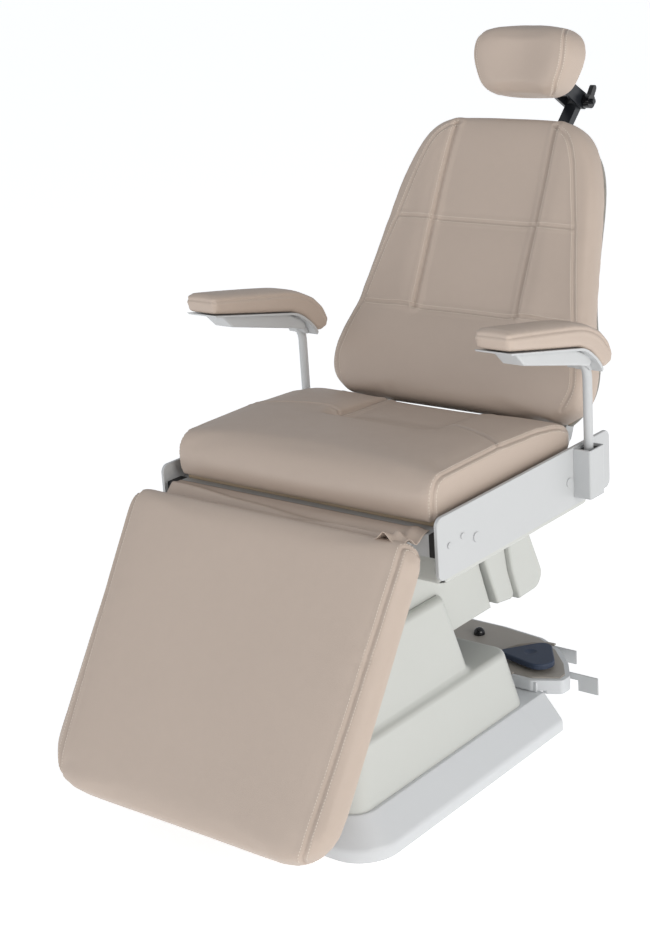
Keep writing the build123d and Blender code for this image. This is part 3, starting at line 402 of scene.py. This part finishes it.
def remesh(piece, cell):
    """Even squares all over, with the steps of the grid smoothed out."""
    squares = piece.modifiers.new("squares", "REMESH")
    squares.mode, squares.voxel_size = "VOXEL", cell * MM
    ease = piece.modifiers.new("ease", "SMOOTH")
    ease.factor, ease.iterations = 0.5, 4
    return settle(piece)


def points_of(mesh):
    """The mesh's vertices as an array of rows, in millimetres."""
    flat = np.empty(len(mesh.vertices) * 3)
    mesh.vertices.foreach_get("co", flat)
    return flat.reshape(-1, 3) / MM


def set_points(mesh, points):
    mesh.vertices.foreach_set("co", (np.asarray(points) * MM).ravel())
    mesh.update()


def ease(value, start, end):
    """0 before start, 1 after end, and a smooth step between; start may be above end."""
    t = np.clip((value - start) / (end - start), 0, 1)
    return t * t * (3 - 2 * t)


def hump(value, centre, width):
    """Bell curve of height 1."""
    return np.exp(-((value - centre) / width) ** 2)


print("blanks can be cut and remeshed")

# %% [markdown]
# ## Air in the cushion
#
# The cloth solver pushes the skin out with a steady pressure while a group of held points keeps
# the rear flat and the seams down.  Gravity is off, since foam holds the cover up.  Twenty frames
# are enough to swell it; the swelling is then capped, because a cover is cut to a size.


# %% Puffing
def puff(piece, held, cap, pressure=4.0, frames=20):
    """Swells the piece by at most cap millimetres, except where held is 1."""
    rest = points_of(piece.data)
    group = piece.vertex_groups.new(name="held")
    for level in (0.25, 0.5, 0.75, 1.0):
        members = np.flatnonzero(np.round(held * 4) / 4 == level)
        group.add([int(i) for i in members], level, "REPLACE")
    cloth = piece.modifiers.new("air", "CLOTH")
    cloth.settings.quality = 4
    cloth.settings.bending_stiffness = 8
    cloth.settings.use_pressure = True
    cloth.settings.uniform_pressure_force = pressure
    cloth.settings.vertex_group_mass = "held"
    cloth.settings.effector_weights.gravity = 0
    cloth.point_cache.frame_end = frames
    scene = bpy.context.scene
    for number in range(1, frames + 1):
        scene.frame_set(number)
    graph = bpy.context.evaluated_depsgraph_get()
    swollen = points_of(piece.evaluated_get(graph).data)
    piece.modifiers.clear()
    piece.vertex_groups.clear()
    scene.frame_set(1)
    moved = swollen - rest
    length = np.maximum(np.linalg.norm(moved, axis=1, keepdims=True), 1e-6)
    set_points(piece.data, rest + moved / length * cap * np.tanh(length / cap))
    calm = piece.modifiers.new("calm", "SMOOTH")
    calm.factor, calm.iterations = 0.5, 8
    settle(piece)
    print(piece.name, "swelled by up to", round(float(length.max()), 1), "mm, kept under", cap)
    return piece


def smooth_skin(piece):
    """One subdivision, then smooth shading."""
    skin = piece.modifiers.new("skin", "SUBSURF")
    skin.levels = skin.render_levels = 1
    settle(piece)
    piece.data.shade_smooth()
    return piece


# %% [markdown]
# ## Seams and stitches
#
# A seam is given by a few guide points just off the skin.  A smooth curve through them is dropped
# on the skin, the squares beside it are halved, and their points are pressed in, which makes a
# crisp valley with a soft roll on both sides.  A topstitched seam has a row of stitches on
# each side.  Each stitch is a tiny bead of a few faces: there are thousands of them.


# %% Sewing
def skin_tree(piece):
    """Finder for the nearest point on the piece's skin, in metres."""
    mesh = piece.data
    return BVHTree.FromPolygons([v.co for v in mesh.vertices], [p.vertices[:] for p in mesh.polygons])


def drop(tree, guide, step=1.5):
    """Rows of (place, normal) in millimetres along a guide curve dropped on the skin."""
    rows = []
    for point in flowing(guide, step):
        place, normal, _, _ = tree.find_nearest(Vector(point) * MM)
        rows.append((place / MM, normal))
    return rows


def refine(piece, guides, reach=10.0):
    """Halves the squares of the skin beside some guide curves, so that a seam can be crisp."""
    tree = skin_tree(piece)
    places = [place for guide in guides for place, _ in drop(tree, guide, 3)]
    finder = KDTree(len(places))
    for index, place in enumerate(places):
        finder.insert(place, index)
    finder.balance()
    bm = bmesh.new()
    bm.from_mesh(piece.data)
    near = [finder.find(v.co / MM)[2] < reach for v in bm.verts]
    edges = [e for e in bm.edges if near[e.verts[0].index] and near[e.verts[1].index]]
    bmesh.ops.subdivide_edges(bm, edges=edges, cuts=1, use_grid_fill=True)
    bm.to_mesh(piece.data)
    bm.free()
    piece.data.shade_smooth()
    return skin_tree(piece)


def press(piece, rows, width, depth, lift):
    """Presses a valley along the rows into the skin and raises a soft roll beside it."""
    mesh = piece.data
    finder = KDTree(len(rows))
    for index, (place, _) in enumerate(rows):
        finder.insert(place, index)
    finder.balance()
    places = np.array([place for place, _ in rows])
    normals = np.empty(len(mesh.vertices) * 3)
    mesh.vertex_normals.foreach_get("vector", normals)
    normals = normals.reshape(-1, 3)
    points = points_of(mesh)
    low, high = places.min(0) - 6 * width, places.max(0) + 6 * width
    near = np.flatnonzero(((points > low) & (points < high)).all(1))
    for index in near:
        gap = finder.find(points[index])[2]
        if gap > 6 * width:
            continue
        valley = depth * math.exp(-(gap / width) ** 2)
        roll = lift * math.exp(-((gap - 3 * width) / (1.6 * width)) ** 2)
        points[index] += normals[index] * (roll - valley)
    set_points(mesh, points)


def bead():
    """One stitch: a small rounded bar along x, in millimetres."""
    bm = bmesh.new()
    bmesh.ops.create_icosphere(bm, subdivisions=1, radius=1)
    bmesh.ops.scale(bm, verts=bm.verts, vec=(2.0, 0.75, 0.6))
    corners = np.array([v.co[:] for v in bm.verts])
    faces = np.array([[v.index for v in f.verts] for f in bm.faces])
    bm.free()
    return corners, faces


BEAD = bead()
STITCH_LIFT = 0.15


def stitch(tree, rows, offsets, pitch=5.0, skip=6.0):
    """Beads in millimetres, along rows of stitches at some offsets from a dropped line."""
    places = np.array([place for place, _ in rows])
    normals = np.array([normal for _, normal in rows])
    travelled = np.concatenate([[0], np.cumsum(np.linalg.norm(np.diff(places, axis=0), axis=1))])
    beads = []
    for offset in offsets:
        for distance in np.arange(skip, travelled[-1] - skip, pitch):
            at = [np.interp(distance, travelled, places[:, i]) for i in range(3)]
            ahead_at = [np.interp(distance + 1, travelled, places[:, i]) for i in range(3)]
            row = min(int(np.searchsorted(travelled, distance)), len(rows) - 1)
            heading = Vector(ahead_at) - Vector(at)
            aside = Vector(normals[row]).cross(heading).normalized()
            found, normal, _, _ = tree.find_nearest((Vector(at) + aside * offset) * MM)
            forward = (heading - normal * heading.dot(normal)).normalized()
            turn = Matrix((forward, normal.cross(forward), normal)).transposed()
            lifted = np.array(found / MM) + np.array(normal) * STITCH_LIFT
            beads.append(np.array(BEAD[0]) @ np.array(turn).T + lifted)
    return beads


def thread_piece(name, beads, place, body):
    """All the stitches of a cushion as one piece on its body."""
    corners = np.concatenate(beads) * MM
    count = len(BEAD[0])
    faces = np.concatenate([BEAD[1] + count * i for i in range(len(beads))])
    mesh = bpy.data.meshes.new(name)
    mesh.from_pydata(corners.tolist(), [], faces.tolist())
    mesh.transform(place)
    mesh.materials.append(THREAD)
    mesh.shade_smooth()
    piece = link(bpy.data.objects.new(name, mesh))
    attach(piece, body)
    print(name, "has", len(beads), "stitches")
    return piece


def upholster(piece, place, body, node):
    """Gives a finished cushion its vinyl, its place and its body."""
    piece.data.transform(place)
    piece.data.materials.clear()
    piece.data.materials.append(VINYL)
    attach(piece, body)
    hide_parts(node)
    low, high = points_of(piece.data).min(0), points_of(piece.data).max(0)
    print(piece.name, "spans", np.round(high - low).astype(int), "mm")
    return piece


def both(guide):
    """A guide curve and its mirror image across the chair."""
    return [guide, [(-x, y, z) for x, y, z in guide]]


# %% [markdown]
# ## Seat cushion
#
# A deep waterfall front, a level top and, at the rear, a hollow in the middle where the patient
# sits, between two raised side panels.  The side gusset meets the top in a topstitched seam that
# runs down the front corner.  It is extruded sideways from its side view, since that view holds
# its character.

# %% Seat cushion
SEAT_HALF = 265
HOLLOW_HALF, HOLLOW_FLOOR = 108, 562
FRONT_CURVE = corner(-216, 554, 36, 180, -90, 8)


def seat_outline():
    """Side view of the seat: y forwards and back, z up, with a rolled front edge."""
    front = [(-248, 513), (-250, 530)]
    return (front + FRONT_CURVE + [(-60, 590), (60, 583), (120, 573)] + corner(138, 546, 20, 60, -60, 5)
            + [(158, 513)])


seat = remesh(blank("seat_cushion_cover", seat_outline(), -SEAT_HALF, SEAT_HALF, 13, along_x=True), 6)
p = points_of(seat.data)
top_side = ease(p[:, 2], 530, 562)
hollow = ease(abs(p[:, 0]), HOLLOW_HALF + 14, HOLLOW_HALF - 6) * ease(p[:, 1], -60, 0)
hollow *= np.interp(p[:, 1], (-60, 60, 120, 145), (590, 583, 573, 566)) - HOLLOW_FLOOR
saddle = 5 * ease(abs(p[:, 0]), 190, 40) * ease(p[:, 1], -190, -60)
crown = 4 * (1 - (p[:, 0] / SEAT_HALF) ** 2) * ease(p[:, 1], 0, -120)
p[:, 2] += top_side * (crown - np.maximum(hollow, saddle))
p[:, 1] -= 7 * hump(p[:, 2], 548, 26) * ease(p[:, 1], -200, -240) * (1 - (p[:, 0] / SEAT_HALF) ** 4)
set_points(seat.data, p)
held = np.maximum(ease(p[:, 2], 520, 514), hump(abs(p[:, 0]), SEAT_HALF, 5) * 0.75)
held = np.maximum(held, hump(abs(p[:, 0]), HOLLOW_HALF, 6) * ease(p[:, 1], -10, 10) * top_side)
puff(seat, held, cap=4)
smooth_skin(seat)

SIDE_SEAM = [(268, -250, 516), (268, -250, 552), (268, -240, 580), (268, -215, 592), (268, -150, 593),
             (268, -60, 591), (268, 40, 584), (268, 110, 574), (268, 150, 556)]
CROSS_SEAM = [(-262, -58, 595), (-187, -24, 590), (-120, 4, 575), (-100, 4, 572), (0, -8, 572), (100, 4, 572),
              (120, 4, 575), (187, -24, 590), (262, -58, 595)]
FORE_AFT_SEAM = [(108, 4, 572), (108, 70, 566), (108, 150, 560)]
tree = refine(seat, [CROSS_SEAM, *both(SIDE_SEAM), *both(FORE_AFT_SEAM)])
seat_beads = []
for guide in both(SIDE_SEAM):
    rows = drop(tree, guide)
    press(seat, rows, 2.4, 2.2, 0.9)
    seat_beads += stitch(skin_tree(seat), rows, (-6, 6))
for guide in both(FORE_AFT_SEAM):
    rows = drop(tree, guide)
    press(seat, rows, 3.2, 4.5, 1.8)
    seat_beads += stitch(skin_tree(seat), rows, (-6,))
rows = drop(tree, CROSS_SEAM)
press(seat, rows, 2.6, 2.6, 0.8)
upholster(seat, SEAT_LEVEL, "seat", "seat_cushion")
thread_piece("seat_stitches", seat_beads, SEAT_LEVEL, "seat")

# %% [markdown]
# ## Back cushion
#
# Seen from the front it is widest at the small of the back and narrows to the shoulders.  Two
# long seams divide it into a flat middle and two fuller sides, two cross seams divide the height,
# and below the lower one the lumbar part is a single full roll.

# %% Back cushion
BACK_HALVES = [(222, -172), (258, -146), (270, -107), (263, -60), (241, 12), (213, 180), (200, 245),
               (178, 304), (150, 340), (112, 355), (50, 358), (0, 358)]
PANEL_HALF = 107
LOWER_SEAM, UPPER_SEAM = 0, 163


def mirrored_outline(halves, step=12):
    """Closed outline from the points of its right-hand half, given from bottom to top."""
    half = flowing(halves, step)
    return [tuple(q) for q in half] + [(-x, y) for x, y in half[::-1] if x > 1]


back = remesh(blank("back_cushion_cover", mirrored_outline(BACK_HALVES), -62, -3, 17), 6)
p = points_of(back.data)
x, up = abs(p[:, 0]), p[:, 1]
front_side = ease(p[:, 2], -34, -12)
lumbar = 11 * hump(up, -86, 58) * (1 - (x / 285) ** 4)
upper = ease(up, LOWER_SEAM - 18, LOWER_SEAM + 10)
middle = upper * ease(x, PANEL_HALF + 9, PANEL_HALF - 5)
sides = upper * hump(x, PANEL_HALF + 26, 30) * ease(up, 345, 300)
waist = 3.0 * hump(up, LOWER_SEAM, 14) + 1.5 * hump(up, UPPER_SEAM, 10)
p[:, 2] += front_side * (lumbar - 5.5 * middle + 5 * sides - waist)
set_points(back.data, p)
held = np.maximum(ease(p[:, 2], -53, -59), front_side * upper * hump(x, PANEL_HALF, 5))
held = np.maximum(held, front_side * (hump(up, LOWER_SEAM, 5) + 0.6 * hump(up, UPPER_SEAM, 5)))
puff(back, np.clip(held, 0, 1), cap=4.5)
smooth_skin(back)

EDGE_SEAM = [(98, 346, -2), (134, 322, -2), (156, 280, 0), (175, 210, 0), (190, 150, 0), (206, 80, 0),
             (222, 12, 0), (240, -60, 0), (250, -110, 2), (236, -150, -6)]
LONG_SEAM = [(PANEL_HALF - 3, 348, -4), (PANEL_HALF, 250, 0), (PANEL_HALF, 100, 0),
             (PANEL_HALF, LOWER_SEAM, 0)]
CROSS_SEAMS = [[(-reach, level, 4), (-PANEL_HALF, level, 4), (0, level, 0), (PANEL_HALF, level, 4),
                (reach, level, 4)] for level, reach in ((LOWER_SEAM, 222), (UPPER_SEAM, 184))]
tree = refine(back, [*CROSS_SEAMS, *both(EDGE_SEAM), *both(LONG_SEAM)])
back_beads = []
for guide in both(EDGE_SEAM):
    rows = drop(tree, guide)
    press(back, rows, 2.2, 1.6, 0.6)
    back_beads += stitch(skin_tree(back), rows, (-5, 5))
for guide in both(LONG_SEAM):
    rows = drop(tree, guide)
    press(back, rows, 3.2, 4.0, 1.6)
    back_beads += stitch(skin_tree(back), rows, (-7,) if guide[0][0] < 0 else (7,))
for guide in CROSS_SEAMS:
    rows = drop(tree, guide)
    press(back, rows, 2.2, 1.6, 0.8)
    back_beads += stitch(skin_tree(back), rows, (-5, 5))
upholster(back, BACK_PLANE, "back", "back_cushion")
thread_piece("back_stitches", back_beads, BACK_PLANE, "back")

# %% [markdown]
# ## Headrest cushion
#
# A thick oval pad that is wider at the top, hollow in the middle of its front so that the head
# settles, with a topstitched gusset seam at each side.

# %% Headrest cushion
HEAD_HALVES = [(54, -61), (78, -47), (94, -16), (101, 14), (94, 42), (70, 58), (36, 62), (0, 62)]

head = remesh(blank("headrest_cushion_cover", mirrored_outline(HEAD_HALVES, 6), -37, 32, 20), 4)
p = points_of(head.data)
front_side = ease(p[:, 2], -8, 18)
p[:, 2] += front_side * (7 * (p[:, 0] / 100) ** 2 - 6 * hump(p[:, 0], 0, 46) * hump(p[:, 1], 0, 55))
set_points(head.data, p)
puff(head, ease(p[:, 2], -30, -35), cap=3.5)
smooth_skin(head)

HEAD_SEAM = [(72, 60, -6), (84, 46, 22), (91, 20, 34), (89, -10, 34), (76, -38, 26), (58, -56, 4)]
tree = refine(head, both(HEAD_SEAM))
head_beads = []
for guide in both(HEAD_SEAM):
    rows = drop(tree, guide)
    press(head, rows, 2.0, 1.8, 0.7)
    head_beads += stitch(skin_tree(head), rows, (-4.5, 4.5), pitch=4.6)
upholster(head, HEAD_PLANE, "headrest", "headrest_cushion")
thread_piece("headrest_stitches", head_beads, HEAD_PLANE, "headrest")

# %% [markdown]
# ## Foot section cushion
#
# A broad flat pad with rounded corners, slightly crowned.  The front panel wraps over its top and
# bottom, and a gusset seam with two rows of stitches runs down each side and turns in at the
# corners.

# %% Foot section cushion
FOOT_TOP_HALF, FOOT_LOW_HALF, FOOT_DROP = 290, 288, 515
FOOT_TOP_R, FOOT_LOW_R = 40, 84


def foot_outline():
    low_x, low_y = FOOT_LOW_HALF - FOOT_LOW_R, FOOT_LOW_R - FOOT_DROP
    top_x, top_y = FOOT_TOP_HALF - FOOT_TOP_R, -FOOT_TOP_R - 2
    return (corner(low_x, low_y, FOOT_LOW_R, -90) + corner(top_x, top_y, FOOT_TOP_R, 0)
            + corner(-top_x, top_y, FOOT_TOP_R, 90) + corner(-low_x, low_y, FOOT_LOW_R, 180))


foot = remesh(blank("foot_cushion_cover", foot_outline(), -50, -3, 16), 6)
p = points_of(foot.data)
front_side = ease(p[:, 2], -28, -8)
p[:, 2] += front_side * 4 * (1 - (p[:, 0] / 290) ** 4) * (1 - ((p[:, 1] + 257) / 262) ** 6)
set_points(foot.data, p)
held = np.maximum(ease(p[:, 2], -42, -47), front_side * 0.5 * hump(abs(p[:, 0]), 268 + 0.02 * p[:, 1], 5))
puff(foot, held, cap=4)
smooth_skin(foot)

FOOT_SEAM = [(284, -14, -40), (281, -6, -24), (274, -14, -4), (274, -50, 2), (271, -180, 4), (266, -320, 4),
             (261, -430, 3), (256, -492, -4), (252, -512, -26)]
tree = refine(foot, both(FOOT_SEAM))
foot_beads = []
for guide in both(FOOT_SEAM):
    rows = drop(tree, guide)
    press(foot, rows, 2.6, 2.6, 1.0)
    foot_beads += stitch(skin_tree(foot), rows, (-6.5, 6.5))
upholster(foot, FOOT_PLANE, "foot_section", "foot_cushion")
thread_piece("foot_stitches", foot_beads, FOOT_PLANE, "foot_section")

# %% [markdown]
# ## Armrest pads
#
# Each pad is a narrow block with a square front, a straight sloping top and a tail that droops
# behind the post.  The top panel is sewn to the side band all round, just below the crown.

# %% Armrest pads
PAD_MIDDLE, PAD_HALF = 298, 34
PAD_UNDER = [(-121, 762), (-20, 741), (84, 720), (118, 704), (150, 670)]
PAD_TAIL = [(165, 667), (181, 672), (186, 684), (172, 712), (148, 733), (112, 749), (72, 760)]
PAD_TOP = [(-20, 776), (-112, 792), (-122, 790), (-125, 782)]
PAD_SEAM = [(-124, 786), (-60, 776), (20, 763), (88, 750), (132, 733), (164, 706), (184, 678)]


def arm_pad(side, word):
    outline = PAD_UNDER + PAD_TAIL + PAD_TOP
    name = "arm_pad_cover_" + word
    pad = blank(name, outline, PAD_MIDDLE - PAD_HALF, PAD_MIDDLE + PAD_HALF, 7, along_x=True)
    remesh(pad, 4)
    p = points_of(pad.data)
    under = 741 - 0.2 * (p[:, 1] + 20)
    held = ease(p[:, 2] - under, 6, 2) * ease(p[:, 1], 110, 80)
    top_side = ease(p[:, 2] - under, 20, 32)
    p[:, 2] += 3.5 * top_side * (1 - ((p[:, 0] - PAD_MIDDLE) / PAD_HALF) ** 2) * ease(p[:, 1], 180, 100)
    set_points(pad.data, p)
    puff(pad, held, cap=3.5)
    smooth_skin(pad)
    tree = skin_tree(pad)
    for edge in (PAD_MIDDLE - PAD_HALF - 3, PAD_MIDDLE + PAD_HALF + 3):
        press(pad, drop(tree, [(edge, y, z) for y, z in PAD_SEAM]), 1.8, 1.5, 0.6)
    front = [(PAD_MIDDLE + x, -128, 786) for x in (-PAD_HALF, -12, 12, PAD_HALF)]
    press(pad, drop(tree, front), 1.8, 1.4, 0.5)
    if side < 0:
        bm = bmesh.new()
        bm.from_mesh(pad.data)
        bmesh.ops.scale(bm, verts=bm.verts, vec=(-1, 1, 1))
        bmesh.ops.reverse_faces(bm, faces=bm.faces)
        bm.to_mesh(pad.data)
        bm.free()
    return upholster(pad, SEAT_LEVEL, "arm_" + word, "arm_pad_" + word)


for side, word in ((1, "left"), (-1, "right")):
    arm_pad(side, word)

# %% [markdown]
# ## Vinyl flap
#
# A loose strip of the same vinyl closes the gap between the seat and the foot section.  It is
# sewn under the front of the seat and tucked behind the top of the foot section, and it is cut
# too long so that the foot section can swing.  The spare length lies in slanting folds.

# %% Vinyl flap
FLAP_HALF, FLAP_CUT = 258, 98
FLAP_LINE = [(-252, 506), (-266, 504), (-280, 500), (-296, 497), (-312, 501), (-326, 508), (-338, 513)]


def flap():
    """Sheet across the chair whose folds run at a slant."""
    bm = bmesh.new()
    bmesh.ops.create_grid(bm, x_segments=150, y_segments=36, size=1)
    line = flowing(FLAP_LINE, 2)
    for v in bm.verts:
        s, t = (v.co.y + 1) / 2, (v.co.x + 1) / 2
        y = np.interp(s, np.linspace(0, 1, len(line)), line[:, 0])
        z = np.interp(s, np.linspace(0, 1, len(line)), line[:, 1])
        slack = math.sin(math.pi * s) ** 0.8
        fold = 8.0 * math.exp(-((s - 0.22 - 0.42 * t) / 0.10) ** 2)
        fold += 5.0 * math.exp(-((s - 0.78 + 0.25 * t) / 0.08) ** 2)
        fold -= 4.0 * math.exp(-((s - 0.48 + 0.10 * t) / 0.12) ** 2)
        loop = 12.0 * math.exp(-((t - 0.955) / 0.020) ** 2) * (0.25 + s)
        ripple = 1.2 * math.sin(9 * t + 6 * s) + 0.8 * math.sin(23 * t - 4 * s)
        v.co = Vector((v.co.x * FLAP_HALF, y, z + slack * (fold + ripple) + loop)) * MM
    mesh = bpy.data.meshes.new("vinyl_flap_sheet")
    bm.to_mesh(mesh)
    area = sum(f.calc_area() for f in bm.faces)
    bm.free()
    piece = link(bpy.data.objects.new("vinyl_flap_sheet", mesh))
    wall = piece.modifiers.new("wall", "SOLIDIFY")
    wall.thickness, wall.offset = 1.1 * MM, 0
    settle(piece)
    piece.data.shade_smooth()
    piece.data.materials.append(VINYL)
    print("flap of", round(area * 1e4), "square cm")
    return piece


flap_piece = flap()
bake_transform(flap_piece)
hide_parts("vinyl_flap")
